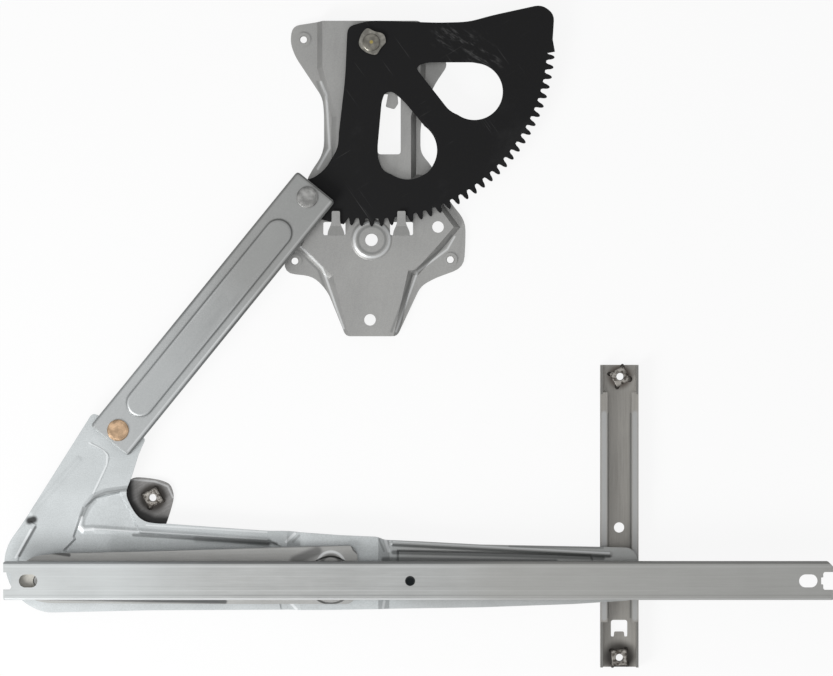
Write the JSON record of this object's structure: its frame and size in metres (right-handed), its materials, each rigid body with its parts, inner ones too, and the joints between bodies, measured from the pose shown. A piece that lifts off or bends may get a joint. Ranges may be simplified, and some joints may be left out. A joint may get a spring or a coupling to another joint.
{
  "type": "window regulator",
  "caption": "Door window regulator: pressed gear plate, toothed sector, link and lever that open a scissor lift under a slotted glass rail, with a guide channel.",
  "frame": {"origin": "axis of the gear plate's pilot bore, on the back plane that faces the door panel", "axes": "+X along the glass rail towards the guide channel, +Y up towards the sector pivot, +Z from the door panel towards the front side"},
  "size_m": [0.5209, 0.418, 0.0364],
  "materials": {
    "zinc_plate": "satin zinc plate",
    "zinc_lever": "satin zinc plate",
    "link_steel": "satin zinc plate",
    "rail_steel": "satin",
    "guide_steel": "satin, slightly brown",
    "arm_steel": "satin, brownish",
    "dark_steel": "satin",
    "black_steel": "matte black",
    "bright_steel": "bright",
    "rivet_steel": "satin",
    "nut_steel": "welded, darkened",
    "brass": "satin",
    "bronze": "satin",
    "shoe_plastic": "matte"
  },
  "bodies": {
    "bracket": {"pivot_bracket": "dark_steel", "bracket_weld_nut": "nut_steel", "lever_pivot_pin": "rivet_steel"},
    "lever": {"lever_arm": "zinc_lever", "rail_pin_right": "rivet_steel"},
    "scissor": {"scissor_arm_front": "arm_steel", "scissor_arm_rear": "arm_steel", "centre_pin": "rivet_steel", "centre_spacer_rear": "rivet_steel", "centre_spacer_front": "rivet_steel", "rail_pin_left": "rivet_steel", "guide_pin": "rivet_steel"},
    "right_shoe": {"rail_shoe_right": "shoe_plastic"},
    "left_shoe": {"rail_shoe_left": "shoe_plastic"},
    "guide_slider": {"guide_shoe": "shoe_plastic"},
    "rail": {"glass_rail": "rail_steel"},
    "guide": {"guide_channel": "guide_steel", "guide_weld_nuts": "nut_steel"},
    "link": {"link_arm": "link_steel", "link_rivet_upper": "rivet_steel", "link_spacer_upper": "rivet_steel", "link_rivet_lower": "bronze", "link_spacer_lower": "rivet_steel"},
    "sector": {"sector_gear": "black_steel"},
    "drive_plate": {"gear_plate": "zinc_plate", "sector_pivot_rivet": "brass", "sector_pivot_plate": "bright_steel", "sector_washer": "bright_steel"}
  },
  "joints": [
    {"name": "lift", "type": "hinge", "parent": "bracket", "child": "lever", "pos_m": [-0.208, -0.2143, 0], "axis": [0, 0, 1], "range_deg": [0, 38]},
    {"name": "scissor_fold", "type": "hinge", "parent": "lever", "child": "scissor", "pos_m": [-0.0256, -0.2143, 0], "axis": [0, 0, 1], "range_deg": [-80, 0]},
    {"name": "right_shoe_turn", "type": "hinge", "parent": "lever", "child": "right_shoe", "pos_m": [0.1568, -0.2143, 0], "axis": [0, 0, 1], "range_deg": [-40, 0]},
    {"name": "left_shoe_turn", "type": "hinge", "parent": "scissor", "child": "left_shoe", "pos_m": [-0.208, -0.2143, 0], "axis": [0, 0, 1], "range_deg": [0, 40]},
    {"name": "guide_shoe_turn", "type": "hinge", "parent": "scissor", "child": "guide_slider", "pos_m": [0.1568, -0.2143, 0], "axis": [0, 0, 1], "range_deg": [0, 40]},
    {"name": "rail_travel", "type": "slide", "parent": "right_shoe", "child": "rail", "axis": [1, 0, 0], "range_m": [-0.1, 0.005]},
    {"name": "guide_travel", "type": "slide", "parent": "guide_slider", "child": "guide", "axis": [0, 1, 0], "range_m": [-0.1, 0.018]},
    {"name": "link_swing", "type": "hinge", "parent": "lever", "child": "link", "pos_m": [-0.1594, -0.1202, 0], "axis": [0, 0, 1], "range_deg": [-40, 0]},
    {"name": "sector_link", "type": "hinge", "parent": "link", "child": "sector", "pos_m": [-0.0402, 0.0265, 0], "axis": [0, 0, 1], "range_deg": [0, 40]},
    {"name": "sector_turn", "type": "hinge", "parent": "sector", "child": "drive_plate", "pos_m": [0, 0.1244, 0], "axis": [0, 0, 1], "range_deg": [0, 80]}
  ],
  "couplings": [
    {"joint": "scissor_fold", "follows": "lift", "ratio": -2},
    {"joint": "right_shoe_turn", "follows": "lift", "ratio": -1},
    {"joint": "left_shoe_turn", "follows": "lift", "ratio": 1},
    {"joint": "guide_shoe_turn", "follows": "lift", "ratio": 1},
    {"joint": "link_swing", "follows": "lift", "ratio": -1}
  ]
}
